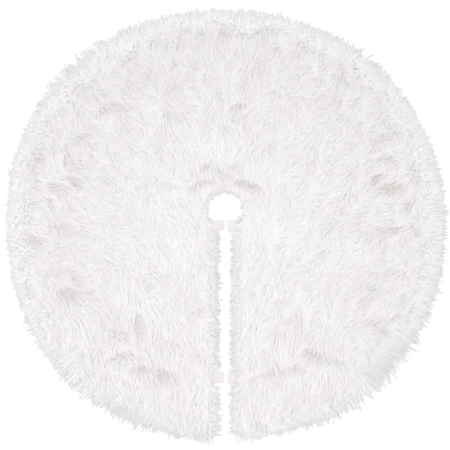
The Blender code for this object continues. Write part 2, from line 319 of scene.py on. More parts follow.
def parted(x, y):
    """1 where the nap and the hair that turns out over the hem lie opposite ways."""
    depth = CLOTH_RADIUS - np.hypot(x, y)
    return np.exp(-(((depth - hem_reach(x, y)) / 0.014) ** 2)) * smoothstep(-0.3, 0.1, y)


def ruffled(x, y):
    """1 in the middle of a strong ruffle, 0 away from them, and below 0 where the pile is smoothest. In the fur's
    tint it gives painted shade in the ruffles and painted light in the smooth spots.
    """
    total = np.zeros_like(x)
    for spot in RUFFLES:
        along, across, _ = in_ruffle(spot, x, y)
        total += spot[5] / 1.3 * np.exp(-(along**2) - across**2)
    return np.clip(total, -1, 1.2)


def comb_apart(points, spacing, length, width, wanted, random):
    """Parts the hair along short narrow gaps that follow the nap. Each cell has one with a chance of
    wanted(x, y)."""
    centres = lock_grid(spacing, random)
    count = centres.shape[1]
    size = np.clip(random.normal(1, 0.25, count), 0.5, 1.6)
    opening = np.where(random.uniform(0, 1, count) < wanted(*centres), width * size, 0)
    heading = nap_heading(*centres, np.ones(count))
    x, y = points[:, :, 0].ravel(), points[:, :, 1].ravel()
    gap = nearest_lock(x, y, centres, spacing)
    sine, cosine = np.sin(heading)[gap], np.cos(heading)[gap]
    from_x, from_y = x - centres[0, gap], y - centres[1, gap]
    along = (from_x * cosine + from_y * sine) / (length * size[gap])
    across = from_y * cosine - from_x * sine
    push = opening[gap] * np.sign(across) * np.exp(-(along**2) - (across / (1.8 * width)) ** 2)
    points[:, :, 0] -= (push * sine).reshape(points.shape[:2])
    points[:, :, 1] += (push * cosine).reshape(points.shape[:2])


def open_gaps(points):
    """Lone gaps, mostly away from the middle, and close ones in the ruffles."""
    random = np.random.default_rng(GAP_SEED)
    comb_apart(
        points, GAP_SPACING, GAP_LENGTH, GAP_WIDTH,
        lambda x, y: 0.02 + 0.18 * smoothstep(0.20, 0.45, np.hypot(x, y)), random,
    )
    comb_apart(
        points, RUFFLE_GAP_SPACING, RUFFLE_GAP_LENGTH, RUFFLE_GAP_WIDTH,
        lambda x, y: smoothstep(0.25, 1.0, ruffled(x, y)), random,
    )


def edge_lift(x, y):
    """0 inside the cloth, rising to 1 at its sewn edges."""
    return 1 - smoothstep(0.0, TURNED_WIDTH, np.min(edge_distances(x, y), axis=0))


def backing_bottom(x, y):
    ripple = 0.0009 * (1 + 0.5 * waves(x, y, 0.22, 7) + 0.35 * waves(x, y, 0.09, 8))
    return BACKING_BOTTOM + np.clip(ripple, 0.0002, 0.003) * (1 - edge_lift(x, y)) - 0.001 * edge_lift(x, y)


def backing_top(x, y):
    return backing_bottom(x, y) + BACKING_THICKNESS


# ---------------------------------------------------------------- strands

def scatter(spacing, random):
    """Jittered points over the whole cloth, about one in each spacing squared."""
    count = int(2 * CLOTH_RADIUS / spacing)
    cells = (np.arange(count) + 0.5) * spacing - CLOTH_RADIUS
    x, y = (axis.ravel() for axis in np.meshgrid(cells, cells))
    x = x + random.uniform(-0.5, 0.5, x.size) * spacing
    y = y + random.uniform(-0.5, 0.5, y.size) * spacing
    inside = np.min(edge_distances(x, y), axis=0) > 0.0005
    return x[inside], y[inside]


def lock_grid(spacing, random):
    """A jittered grid of centres over the skirt: x and y, each as rows by columns in one flat array."""
    count = int(2.4 * CLOTH_RADIUS / spacing)
    column, row = np.meshgrid(np.arange(count), np.arange(count))
    place = np.stack([column.ravel(), row.ravel()]) - count // 2 + 0.5
    return (place + random.uniform(-0.42, 0.42, place.shape)) * spacing


def nearest_lock(x, y, centres, spacing):
    """Which of a lock_grid's centres is nearest to each x, y."""
    count = round(math.sqrt(centres.shape[1]))
    column = np.floor(x / spacing).astype(int) + count // 2
    row = np.floor(y / spacing).astype(int) + count // 2
    best, number = np.full(x.size, np.inf), np.zeros(x.size, int)
    for step_x in (-1, 0, 1):
        for step_y in (-1, 0, 1):
            cell = (row + step_y) * count + column + step_x
            distance = np.hypot(centres[0, cell] - x, centres[1, cell] - y)
            nearer = distance < best
            best[nearer], number[nearer] = distance[nearer], cell[nearer]
    return number


def grow(root, heading, turn, length, width, rise, droop, rings, taper=(0.75, 1.0, 0.8, 0.1)):
    """Paths for strands: points (n, rings + 1, 3) and a width for each ring. A strand starts at its root
    with slope rise and ends with slope droop, and its heading turns by turn on the way."""
    t = np.linspace(0, 1, rings + 1) ** 0.9
    middle = (t[1:] + t[:-1]) / 2
    points = np.repeat(root[:, None, :], rings + 1, axis=1)
    for i in range(rings):
        slope = rise + (droop - rise) * middle[i] ** 0.8
        angle = heading + turn * middle[i]
        step = length * (t[i + 1] - t[i])
        move = np.stack([np.cos(slope) * np.cos(angle), np.cos(slope) * np.sin(angle), np.sin(slope)], 1)
        points[:, i + 1] = points[:, i] + move * step[:, None]
    return points, width[:, None] * np.interp(t[:-1], [0, 0.25, 0.6, 1], taper)[None, :]


def gather(points, centre_x, centre_y, amount):
    """Draws strands towards the lines through their locks' centres, most at the tips."""
    t = np.linspace(0, 1, points.shape[1]) ** 1.2
    pull = amount[:, None] * t[None, :]
    points[:, :, 0] += (centre_x - points[:, 0, 0])[:, None] * pull
    points[:, :, 1] += (centre_y - points[:, 0, 1])[:, None] * pull


def settle(points):
    """Keeps strands off the floor and the backing, and presses the highest down softly."""
    hem, hole, slit = edge_distances(points[:, :, 0], points[:, :, 1])
    over_cloth = np.min([hem, hole, slit], axis=0) > 0
    lowest = np.where(over_cloth, BACKING_BOTTOM + BACKING_THICKNESS, FLOOR_CLEARANCE)
    lowest[:, 0] = points[:, 0, 2]
    z = np.maximum(points[:, :, 2], lowest)
    points[:, :, 2] = np.where(z > CEILING, CEILING + CEILING_GIVE * (z - CEILING), z)


def clear_of_tapes(points):
    """Which strands leave the closure tapes uncovered."""
    clear = np.ones(len(points), bool)
    for fold in (INNER_FOLD, OUTER_FOLD):
        beside = np.abs(points[:, :, 0]) < -fold[0] - TAPE_COVERED
        over = beside & (np.abs(points[:, :, 1] - fold[1]) < TAPE_HALF_WIDTH + 0.001)
        clear &= ~over.any(axis=1)
    return clear


def strand_faces(rings):
    """The triangles of one strand: a root cap, three sides between rings, and a point."""
    faces = [[0, 2, 1]]
    for ring in range(rings - 1):
        low = ring * 3
        for side in range(3):
            after = (side + 1) % 3
            faces.append([low + side, low + after, low + 3 + after])
            faces.append([low + side, low + 3 + after, low + 3 + side])
    top = (rings - 1) * 3
    faces += [[top + side, top + (side + 1) % 3, rings * 3] for side in range(3)]
    return np.array(faces)


def strand_mesh(name, points, widths, tint, material, flatness=FLATNESS):
    """Three-sided tapered strands as one mesh. Its map holds each strand's tint across, root to tip up."""
    n, rings = widths.shape
    along = np.gradient(points, axis=1)
    along /= np.maximum(np.linalg.norm(along, axis=2, keepdims=True), 1e-9)
    across = np.stack([-along[:, :, 1], along[:, :, 0], np.zeros((n, rings + 1))], 2)
    size = np.linalg.norm(across, axis=2, keepdims=True)
    across = np.where(size > 1e-4, across / np.maximum(size, 1e-9), [1.0, 0.0, 0.0])
    up = np.cross(along, across)
    half = widths[:, :, None] / 2
    corners = np.radians([90.0, 210.0, 330.0])
    body = [
        points[:, :rings] + half * (math.cos(a) * across[:, :rings] + flatness * math.sin(a) * up[:, :rings])
        for a in corners
    ]
    body = np.stack(body, 2).reshape(n, rings * 3, 3)
    vertices = np.concatenate([body, points[:, rings:]], 1)
    per_strand = rings * 3 + 1
    faces = strand_faces(rings)
    index = (faces[None] + (np.arange(n) * per_strand)[:, None, None]).ravel()

    mesh = bpy.data.meshes.new(name)
    mesh.vertices.add(n * per_strand)
    mesh.vertices.foreach_set("co", vertices.astype(np.float32).ravel())
    mesh.loops.add(index.size)
    mesh.loops.foreach_set("vertex_index", index.astype(np.int32))
    mesh.polygons.add(index.size // 3)
    mesh.polygons.foreach_set("loop_start", np.arange(0, index.size, 3, dtype=np.int32))
    mesh.update(calc_edges=True)
    mesh.shade_smooth()
    t = np.append(np.repeat(np.linspace(0, 1, rings + 1)[:-1], 3), 1.0)
    side = np.append(np.tile([0.0, -0.5, 0.5], rings), 0.0)
    u = 0.02 + 0.94 * tint[:, None] + 0.016 * side[None, :]
    v = np.broadcast_to(0.02 + 0.96 * t[None, :], u.shape)
    uv = np.stack([u, v], 2).reshape(-1, 2)[index]
    mesh.uv_layers.new(name="OFBake").data.foreach_set("uv", uv.astype(np.float32).ravel())
    mesh.materials.append(material)
    obj = bpy.data.objects.new(name, mesh)
    bpy.context.scene.collection.objects.link(obj)
    return obj


def move_with_halves(obj, side):
    """Rides on one half of the skirt, or, behind the hole, stays in place with its placement baked into its mesh.
    """
    if side == "back":
        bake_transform(obj)
    else:
        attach(obj, f"{side}_half")


def fur_pieces(name, points, widths, tint, material):
    """Splits strands by how they move, and each share into pieces of at most MAX_FACES."""
    keep = clear_of_tapes(points)
    points, widths, tint = points[keep], widths[keep], tint[keep]
    root_x, root_y = points[:, 0, 0], points[:, 0, 1]
    back = (root_y > 0) & (root_x > BEND_START - BEND_REACH[0]) & (root_x < BEND_END + BEND_REACH[1])
    shares = {"left": ~back & (root_x < 0), "back": back, "right": ~back & (root_x >= 0)}
    most = MAX_FACES // len(strand_faces(widths.shape[1]))
    pieces = []
    for side, share in shares.items():
        chosen = np.nonzero(share)[0]
        if not chosen.size:
            continue
        chosen = chosen[np.argsort(root_y[chosen], kind="stable")]
        parts = math.ceil(chosen.size / most)
        for number, part in enumerate(np.array_split(chosen, parts), 1):
            piece = strand_mesh(f"{name}_{side}_{number}", points[part], widths[part], tint[part], material)
            move_with_halves(piece, side)
            pieces.append(piece)
    return pieces


def tint_of(x, y, random):
    """Where each strand's colour is on the fur's map: most of the nap is warm, from WARM_TINT, dark, to 1,
    white, and its neutral patches and the hair that turns out over an edge are grey, from 0, dark, to
    GREY_TINT, light. The grey of the hair over an edge is painted shade, and so are the lower tints in the
    ruffles and where the nap parts. The higher tints in the smooth spots are painted light."""
    hem, hole, slit = edge_distances(x, y)
    radius = np.hypot(x, y)
    tint = 0.80 - 0.11 * smoothstep(0.15, 0.55, radius) - 0.05 * np.exp(-(((radius - 0.1) / 0.03) ** 2))
    mottling = 0.04 * waves(x, y, 0.13, 21) + 0.036 * waves(x, y, 0.045, 22)
    # Lower tint in the ruffles and where the nap parts is painted shade of their gaps; higher tint in the smooth
    # spots is painted light.
    tint += mottling - 0.34 * ruffled(x, y) - 0.05 * parted(x, y)
    tint += STRAND_TINT_SPREAD * random.normal(size=x.size)
    neutral = random.uniform(0, 1, x.size) < 0.5 * smoothstep(0.2, 1.4, waves(x, y, 0.07, 23))
    tint = np.where(neutral, GREY_TINT - 0.25 * np.clip(0.8 - tint, 0, 1), np.clip(tint, WARM_TINT, 1))
    # Hair near an edge is grey, darkest at the very edge: painted shade on the hair that turns out over it.
    edge = np.minimum(np.minimum(hem * HEM_REACH / hem_reach(x, y), 2.2 * slit), 3.0 * hole)
    grey = edge + 0.007 * random.normal(size=x.size) < 0.028
    edge_shade_tint = 0.235 - 0.135 * smoothstep(0.028, 0.002, edge)
    edge_shade_tint += 0.3 * STRAND_TINT_SPREAD * random.normal(size=x.size)
    return np.where(grey, np.clip(edge_shade_tint, 0, GREY_TINT), tint)


def jitter(random, count, mean, spread, low=-np.inf, high=np.inf):
    return np.clip(mean + spread * random.normal(size=count), low, high)


def top_coat(material):
    """The long outer hair, gathered lightly into locks that lie over each other like shingles."""
    random = np.random.default_rng(SEED)
    x, y = scatter(TOP_SPACING, random)
    centres = lock_grid(LOCK_SPACING, random)
    lock = nearest_lock(x, y, centres, LOCK_SPACING)
    cx, cy = centres[:, lock]
    of_lock = random.normal(size=(centres.shape[1], 4))[lock]
    choice = random.uniform(0, 1, x.size)
    hem, hole, slit = edge_distances(x, y)
    edge = smoothstep(0.024, 0.004, np.min([hem, hole + 0.002, slit], axis=0))
    ruffle = np.clip(ruffled(x, y), 0, 1)
    uneven = 0.12 + 0.10 * smoothstep(0.030, 0.008, hem)
    length = TOP_LENGTH * jitter(random, x.size, 1, 0.10) * (1 + uneven * of_lock[:, 0])
    length *= 1 - 0.2 * ruffle - 0.35 * smoothstep(0.02, 0.004, np.minimum(hole, slit))
    length = np.clip(length, 0.010, 0.050)
    length = np.minimum(length, 1.15 * np.maximum(hole, 0) + 0.006)
    length = np.minimum(length, 1.08 * np.maximum(hem, 0) + 0.016 + round_hem(HEM_BULGES, x, y))
    width = TOP_WIDTH * jitter(random, x.size, 1, 0.25, 0.5, 1.7)
    upright = parted(x, y)
    length *= 1 - 0.15 * upright
    rise = 46 + 3 * of_lock[:, 1] - 26 * edge - 12 * ruffle + 6 * upright
    droop = -6 + 3 * of_lock[:, 2] - 12 * edge + 10 * upright
    rise, droop = (np.radians(jitter(random, x.size, slope, 3)) for slope in (rise, droop))
    turn = 0.25 * waves(cx, cy, 0.05, 11) + jitter(random, x.size, 0, 0.10)
    heading = nap_heading(cx, cy, choice) + 0.08 * of_lock[:, 3]
    root = np.stack([x, y, backing_top(x, y) - ROOT_DEPTH], 1)
    points, widths = grow(root, heading, turn, length, width, rise, droop, 3)
    gather(points, cx, cy, 0.3 * (1 - upright) + 0.6 * smoothstep(0.030, 0.008, hem))
    open_gaps(points)
    settle(points)
    return fur_pieces("top_coat", points, widths, tint_of(cx, cy, random), material)


def undercoat(material):
    """Short dense hair that fills the gaps between the locks. Where the nap parts it lies every way."""
    random = np.random.default_rng(SEED + 1)
    x, y = scatter(UNDER_SPACING, random)
    fill_x, fill_y = scatter(PARTING_SPACING, random)
    filling = parted(fill_x, fill_y) > random.uniform(0.15, 1, fill_x.size)
    x, y = np.append(x, fill_x[filling]), np.append(y, fill_y[filling])
    hem, hole, slit = edge_distances(x, y)
    edge = smoothstep(0.012, 0.002, np.min([hem, hole, slit], axis=0))
    upright = parted(x, y)
    length = UNDER_LENGTH * jitter(random, x.size, 1, 0.2, 0.4, 1.6) * (1 - 0.2 * edge + 0.5 * upright)
    width = UNDER_WIDTH * jitter(random, x.size, 1, 0.25, 0.5, 1.7)
    rise = np.radians(jitter(random, x.size, 52, 8) - 20 * edge + 10 * upright)
    droop = np.radians(jitter(random, x.size, 0, 10) + 10 * upright)
    turn = jitter(random, x.size, 0, 0.4)
    heading = nap_heading(x, y, random.uniform(0, 1, x.size))
    heading += random.uniform(-math.pi, math.pi, x.size) * upright
    root = np.stack([x, y, backing_top(x, y) - ROOT_DEPTH], 1)
    points, widths = grow(root, heading, turn, length, width, rise, droop, 2)
    open_gaps(points)
    settle(points)
    return fur_pieces("undercoat", points, widths, tint_of(x, y, random), material)


def edge_line(kind, spacing):
    """Points along one edge of the cloth, and the way out from it."""
    if kind == "slit":
        y = np.arange(CORNER_Y + 0.002, -CLOTH_RADIUS + 0.003, -spacing)
        y = np.concatenate([y, y])
        sign = np.repeat([-1.0, 1.0], y.size // 2)
        x = sign * panel_edge(y)
        return x, y, np.where(sign < 0, 0.0, math.pi)
    radius = CLOTH_RADIUS if kind == "hem" else HOLE_RADIUS
    gap = math.asin(panel_edge(-radius) / radius)
    angle = np.arange(-math.pi / 2 + gap, 1.5 * math.pi - gap, spacing / radius)
    out = angle if kind == "hem" else angle + math.pi
    return radius * np.cos(angle), radius * np.sin(angle), out


def fringe(kind, material, spacing, per_lock, depth, length, lock_spread, rise, droop, tint, ragged, pull):
    """Locks that hang over an edge of the cloth and thin out to points. Their lengths vary by ragged, and
    pull draws each lock together, from 0, loose, to 1, to one point."""
    random = np.random.default_rng([SEED, len(kind), int(1e6 * length)])
    x, y, out = edge_line(kind, spacing)
    count = x.size
    out = out + jitter(random, count, 0, 0.16) + 0.2 * waves(x, y, 0.06, 31)
    inset = random.uniform(0.001, depth, count)
    cx, cy = x - inset * np.cos(out), y - inset * np.sin(out)
    of_lock = random.normal(size=(count, 4))
    lock = np.repeat(np.arange(count), per_lock)
    spread = lock_spread * random.normal(size=(2, lock.size))
    root_x, root_y = cx[lock] + spread[0], cy[lock] + spread[1]
    inside = np.min(edge_distances(root_x, root_y), axis=0) > 0.0003
    lock, root_x, root_y = lock[inside], root_x[inside], root_y[inside]
    size = lock.size
    of_lock = np.clip(of_lock[lock], -2.2, 2.2)
    strand_length = length * (1 + ragged * of_lock[:, 0]) * jitter(random, size, 1, 0.06, 0.6, 1.4)
    if kind == "hem":
        strand_length *= 1 + 8 * round_hem(HEM_PATCHES, root_x, root_y)
        strand_length += round_hem(HEM_BULGES, root_x, root_y)
    width = TOP_WIDTH * jitter(random, size, 1, 0.2, 0.6, 1.5)
    slope = np.radians(jitter(random, size, rise, 5) + 5 * of_lock[:, 1])
    end = np.radians(jitter(random, size, droop, 5) + 5 * of_lock[:, 2])
    turn = 0.25 * of_lock[:, 3] + jitter(random, size, 0, 0.08)
    root = np.stack([root_x, root_y, backing_top(root_x, root_y) - ROOT_DEPTH], 1)
    points, widths = grow(root, out[lock], turn, strand_length, width, slope, end, 4, (0.8, 1.0, 1.0, 0.5))
    gather(points, cx[lock], cy[lock], np.full(size, pull))
    settle(points)
    # Grey tints on the fur's map: painted shade on the thin hanging locks.
    tints = np.clip(tint + 0.04 * of_lock[:, 1] + jitter(random, size, 0, 0.03), 0, GREY_TINT)
    return fur_pieces(f"{kind}_fringe", points, widths, tints, material)


# ---------------------------------------------------------------- cloth

def add_mesh(name, vertices, faces, material):
    mesh = bpy.data.meshes.new(name)
    mesh.from_pydata(vertices, [], faces)
    mesh.materials.append(material)
    mesh.shade_smooth()
    obj = bpy.data.objects.new(name, mesh)
    bpy.context.scene.collection.objects.link(obj)
    return obj


def half_angles(side, radius):
    """Where an arc of this radius starts and ends on one share of the cloth, from +X, in radians."""
    edge = -math.pi / 2 + math.asin(min(1.0, panel_edge(-radius * 0.999) / radius))
    seam = math.pi / 2
    bend = math.acos(min(1.0, BEND_END / radius))
    spans = {"left": (math.pi - seam, math.pi - edge), "right": (edge, bend), "back": (bend, seam)}
    return spans[side]


def closed_sheet(name, x, y, low, high, material):
    """A closed sheet between two heights over a grid of points, given as rows by columns."""
    rows, columns = x.shape
    layers = [np.stack([x, y, z], 2).reshape(-1, 3) for z in (low, high)]
    top = rows * columns
    faces = []
    for i in range(rows - 1):
        for j in range(columns - 1):
            a, b = i * columns + j, (i + 1) * columns + j
            faces.append((a, a + 1, b + 1, b))
            faces.append((top + a, top + b, top + b + 1, top + a + 1))
    rim = list(range(columns - 1))
    rim += [i * columns + columns - 1 for i in range(rows - 1)]
    rim += [(rows - 1) * columns + j for j in range(columns - 1, 0, -1)]
    rim += [i * columns for i in range(rows - 1, 0, -1)]
    faces += [(a, top + a, top + b, b) for a, b in zip(rim, rim[1:] + rim[:1])]
    return add_mesh(name, np.concatenate(layers).tolist(), faces, material)


def sheet_piece(name, side, low_z, high_z, material, inset):
    """A closed sheet of cloth over one share of the skirt."""
    steps = BACK_STEPS if side == "back" else AROUND_STEPS
    t = np.linspace(0, 1, RADIAL_STEPS + 1)
    t = 0.5 - 0.5 * np.cos(math.pi * t) * (1 - 0.25 * np.sin(math.pi * t))
    radii = HOLE_RADIUS + inset + (CLOTH_RADIUS - HOLE_RADIUS - 2 * inset) * t
    spans = np.array([half_angles(side, radius) for radius in radii])
    angle = spans[:, :1] + (spans[:, 1:] - spans[:, :1]) * np.linspace(0, 1, steps + 1)
    x, y = radii[:, None] * np.cos(angle), radii[:, None] * np.sin(angle)
    piece = closed_sheet(name, x, y, low_z(x, y), high_z(x, y), material)
    move_with_halves(piece, side)
    return piece


def lining_bottom(x, y):
    """On the floor, but for creases, puckers and the back seam, and for the turned edges, which rise to meet
    the fur's backing."""
    hem, hole, slit = edge_distances(x, y)
    edge = np.min([hem, hole, slit], axis=0)
    turned = (1 - smoothstep(0.0, TURNED_WIDTH, edge)) * beside_tapes(y, 0.004)
    along_hem = np.arctan2(y, x) * CLOTH_RADIUS
    pucker = np.sin(along_hem * 2 * math.pi / PUCKER_SPACING + 2 * waves(x, y, 0.12, 41))
    pucker = PUCKER_HEIGHT * np.maximum(0, pucker) * smoothstep(0.060, 0.006, hem)
    long_crease = np.exp(-((waves(x, y, 0.16, 42) / 0.2) ** 2))
    short_crease = np.exp(-((waves(x, y, 0.11, 44) / 0.25) ** 2))
    crease = long_crease * smoothstep(-0.4, 0.9, waves(x, y, 0.20, 43))
    crease += 0.7 * short_crease * smoothstep(0.2, 1.2, waves(x, y, 0.15, 45))
    flat = np.clip(beside_tapes(y, 0.004) + (np.abs(x) > 0.07), 0, 1)
    seam = 0.0005 * np.exp(-((x / 0.0012) ** 2)) * (y > 0)
    raised = (CREASE_HEIGHT * crease + pucker) * flat + seam
    return TURNED_HEIGHT * turned + raised * smoothstep(0.0, 0.01, edge)


def lining_top(x, y):
    return lining_bottom(x, y) + LINING_THICKNESS


def add_cloth(backing_material, lining_material):
    """The fur's knitted backing and the lining, each in shares that move with the two halves."""
    for side in ("left", "right", "back"):
        backing = sheet_piece(
            f"fur_backing_{side}", side, backing_bottom, backing_top, backing_material, BACKING_INSET)
        lining = sheet_piece(
            f"lining_cloth_{side}", side, lining_bottom, lining_top, lining_material, LINING_INSET)
        if side != "back":
            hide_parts(f"fur_panel_{side}")
            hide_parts(f"lining_{side}")


# ---------------------------------------------------------------- closure tapes

def tape_sink(place, side, x):
    """How far a tape's free part has sunk towards the floor at x."""
    fold = JOINTS[f"{place}_tab_{side}_lift"]["pos_m"][0]
    return TAPE_SINK[side] * smoothstep(0.0, 1.0, (fold - x) / fold)


def add_tape(place, side, material):
    """One woven tape from its sewn root to its cut end, in one strip."""
    sign = SIDES[side]
    low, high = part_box(f"{place}_tape_{side}")
    root_low, root_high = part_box(f"{place}_tape_root_{side}")
    x = np.arange(min(low[0], root_low[0]), max(high[0], root_high[0]) + 1e-6, TAPE_RIB / 6)
    tip = high[0] if side == "left" else low[0]
    rounded = np.clip(TAPE_CORNER - np.abs(x - tip), 0, None)
    half_width = TAPE_HALF_WIDTH - TAPE_CORNER + np.sqrt(TAPE_CORNER**2 - rounded**2)
    across = np.sin(np.linspace(-1, 1, 25) * math.pi / 2)
    middle_y = (low[1] + high[1]) / 2
    y = middle_y + half_width[:, None] * across
    x = np.repeat(x[:, None], across.size, axis=1)
    inside = half_width[:, None] - np.abs(y - middle_y)
    ribs = TAPE_RIB_HEIGHT * np.cos(x * 2 * math.pi / TAPE_RIB) * smoothstep(0.6, 1.0, inside / SELVEDGE)
    edge = smoothstep(0.0, 0.0006, np.minimum(inside, np.abs(x - tip)))
    half = (high[2] - low[2]) / 2 * (0.55 + 0.35 * edge) + ribs
    wave = TAPE_RIB_HEIGHT * np.sin(y / 0.0043 + x / 0.011) * smoothstep(0.0, 0.01, -sign * x + 0.03)
    middle = (low[2] + high[2]) / 2 - tape_sink(place, side, x) + wave
    piece = closed_sheet(f"{place}_closure_tape_{side}", x, y, middle - half, middle + half, material)
    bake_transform(piece)
    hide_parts(f"{place}_tape_{side}", f"{place}_tape_root_{side}")


def add_fastening(place, side, material):
    """The loop pile on a left tape, or the hooks under a right one: small bent fibres in a grid, jittered for the
    loops.
    """
    random = np.random.default_rng([SEED, PLACES.index(place)])
    loops = side == "left"
    node = f"{place}_loop_pile_{side}" if loops else f"{place}_hook_pad_{side}"
    low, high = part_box(node)
    spacing = LOOP_SPACING if loops else HOOK_SPACING
    x, y = np.meshgrid(np.arange(low[0], high[0], spacing), np.arange(low[1], high[1], spacing))
    x, y = x.ravel() + spacing / 2, y.ravel() + spacing / 2
    if loops:
        x = x + spacing * random.uniform(-0.5, 0.5, x.size)
        y = y + spacing * random.uniform(-0.5, 0.5, x.size)
    tape_low, tape_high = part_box(f"{place}_tape_{side}")
    start, end = (tape_high[2] - FIBRE_FOOT, high[2]) if loops else (tape_low[2] + FIBRE_FOOT, low[2])
    t = np.linspace(0, 1, 7)
    if loops:
        heading = random.uniform(0, 2 * math.pi, x.size)
        span = LOOP_SPAN * random.uniform(0.7, 1.3, x.size)
        rise = np.sin(math.pi * t) ** 0.6
        reach, width = t, LOOP_WIDTH
    else:
        heading = math.pi / 2 * np.where(np.round(x / spacing) % 2 == 0, 1.0, -1.0)
        span = np.full(x.size, HOOK_SPAN)
        bends = [0, 0.5, 0.7, 0.85, 1]
        rise = np.interp(t, bends, [0, 0.85, 1, 0.9, 0.62])
        reach, width = np.interp(t, bends, [0, 0.05, 0.45, 0.85, 1]), HOOK_WIDTH
    height = (end - start) * random.uniform(0.88, 1.0, x.size)
    points = np.empty((x.size, t.size, 3))
    points[:, :, 0] = x[:, None] + (span * np.cos(heading))[:, None] * reach
    points[:, :, 1] = y[:, None] + (span * np.sin(heading))[:, None] * reach
    points[:, :, 2] = start - tape_sink(place, side, x)[:, None] + height[:, None] * rise
    tint = np.clip(0.6 + 0.15 * random.normal(size=x.size), 0, 1)
    name = node.replace("pad", "fibres").replace("pile", "fibres")
    piece = strand_mesh(name, points, np.full((x.size, t.size - 1), width), tint, material, flatness=1.0)
    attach(piece, f"{place}_tab_{side}")
    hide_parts(node)


# ---------------------------------------------------------------- materials

KNIT_FINENESS = 0.0014        # about a third of the way from thread to thread
LINING_FINENESS = 0.0006
WEAVE_DEPTH = 0.0002
PLY_DEPTH = 0.00006


def new_material(name, roughness, specular=0.3):
    material = bpy.data.materials.new(name)
    material.use_nodes = True
    tree = material.node_tree
    shader = tree.nodes["Principled BSDF"]
    shader.inputs["Roughness"].default_value = roughness
    shader.inputs["Specular IOR Level"].default_value = specular
    return material, tree, shader


def color_ramp(tree, source, stops):
    ramp = tree.nodes.new("ShaderNodeValToRGB")
    elements = ramp.color_ramp.elements
    while len(elements) < len(stops):
        elements.new(0.5)
    for element, (position, color) in zip(elements, stops):
        element.position = position
        element.color = (*color, 1.0)
    tree.links.new(source, ramp.inputs[0])
    return ramp.outputs["Color"]


def multiply(tree, first, second):
    mix = tree.nodes.new("ShaderNodeMix")
    mix.data_type = "RGBA"
    mix.blend_type = "MULTIPLY"
    mix.inputs["Factor"].default_value = 1.0
    sockets = [socket for socket in mix.inputs if socket.type == "RGBA"]
    tree.links.new(first, sockets[0])
    tree.links.new(second, sockets[1])
    return next(socket for socket in mix.outputs if socket.type == "RGBA")


def strand_map(tree):
    """Where a strand is on its map: its tint across, and root to tip up."""
    uv = tree.nodes.new("ShaderNodeUVMap")
    uv.uv_map = "OFBake"
    split = tree.nodes.new("ShaderNodeSeparateXYZ")
    tree.links.new(uv.outputs[0], split.inputs[0])
    return split.outputs["X"], split.outputs["Y"]


def fur_material():
    """The pile, whose colour follows each strand's tint and darkens a little towards the root, painted shade deep
    in the pile.
    """
    material, tree, shader = new_material("fur_pile", 0.62, 0.25)
    across, up = strand_map(tree)
    # The greys at the low end of this map are painted shade on the hair over the edges, and the warm dark near
    # WARM_TINT is painted shade in the ruffles and partings.
    tint = color_ramp(tree, across, [
        (0.02, (0.57, 0.57, 0.57)), (0.12, (0.74, 0.74, 0.74)), (0.27, (0.928, 0.932, 0.953)),
        (0.31, (0.72, 0.66, 0.645)), (0.50, (0.86, 0.815, 0.811)), (0.74, (0.95, 0.917, 0.916)),
        (0.98, (0.99, 0.972, 0.980)),
    ])
    # Darker towards each strand's root: painted shade deep in the pile.
    length = color_ramp(tree, up, [
        (0.0, (0.96, 0.955, 0.955)), (0.4, (0.99, 0.99, 0.99)), (1.0, (1.0, 1.0, 1.0)),
    ])
    tree.links.new(multiply(tree, tint, length), shader.inputs["Base Color"])
    return material


def object_waves(tree, scale, rotation=0.0, distortion=0.0):
    """Bands in object space, for threads and weaves."""
    coordinates = tree.nodes.new("ShaderNodeTexCoord")
    mapping = tree.nodes.new("ShaderNodeMapping")
    mapping.inputs["Rotation"].default_value = (0.0, 0.0, rotation)
    wave = tree.nodes.new("ShaderNodeTexWave")
    wave.inputs["Scale"].default_value = scale
    wave.inputs["Distortion"].default_value = distortion
    tree.links.new(coordinates.outputs["Object"], mapping.inputs["Vector"])
    tree.links.new(mapping.outputs["Vector"], wave.inputs["Vector"])
    return wave.outputs["Fac"]


def bump(tree, shader, height, distance):
    node = tree.nodes.new("ShaderNodeBump")
    node.inputs["Distance"].default_value = distance
    node.inputs["Strength"].default_value = 0.6
    tree.links.new(height, node.inputs["Height"])
    tree.links.new(node.outputs["Normal"], shader.inputs["Normal"])


def mottle(tree, size, darkest):
    """A soft uneven shade in patches of about this size."""
    coordinates = tree.nodes.new("ShaderNodeTexCoord")
    noise = tree.nodes.new("ShaderNodeTexNoise")
    noise.inputs["Scale"].default_value = 1 / size
    noise.inputs["Detail"].default_value = 3.0
    tree.links.new(coordinates.outputs["Object"], noise.inputs["Vector"])
    return color_ramp(tree, noise.outputs["Fac"], [(0.35, (darkest,) * 3), (0.65, (1.0,) * 3)])


def woven_material(name, dark, light, fineness, roughness):
    """A plain weave: two sets of threads that cross, each pi times fineness from thread to thread."""
    material, tree, shader = new_material(name, roughness)
    scale = 0.1 / fineness
    warp = object_waves(tree, scale)
    weft = object_waves(tree, scale, math.pi / 2)
    combine = tree.nodes.new("ShaderNodeMath")
    combine.operation = "MAXIMUM"
    tree.links.new(warp, combine.inputs[0])
    tree.links.new(weft, combine.inputs[1])
    color = color_ramp(tree, combine.outputs[0], [(0.0, dark), (0.6, light), (1.0, light)])
    shade = mottle(tree, 50 * fineness, 0.94)
    tree.links.new(multiply(tree, color, shade), shader.inputs["Base Color"])
    bump(tree, shader, combine.outputs[0], WEAVE_DEPTH)
    return material


def fibre_material(name, dark, light, roughness):
    """Short nylon fibres, each its own tint across the map."""
    material, tree, shader = new_material(name, roughness)
    across, _ = strand_map(tree)
    tint = color_ramp(tree, across, [(0.1, dark), (0.9, light)])
    tree.links.new(tint, shader.inputs["Base Color"])
    return material


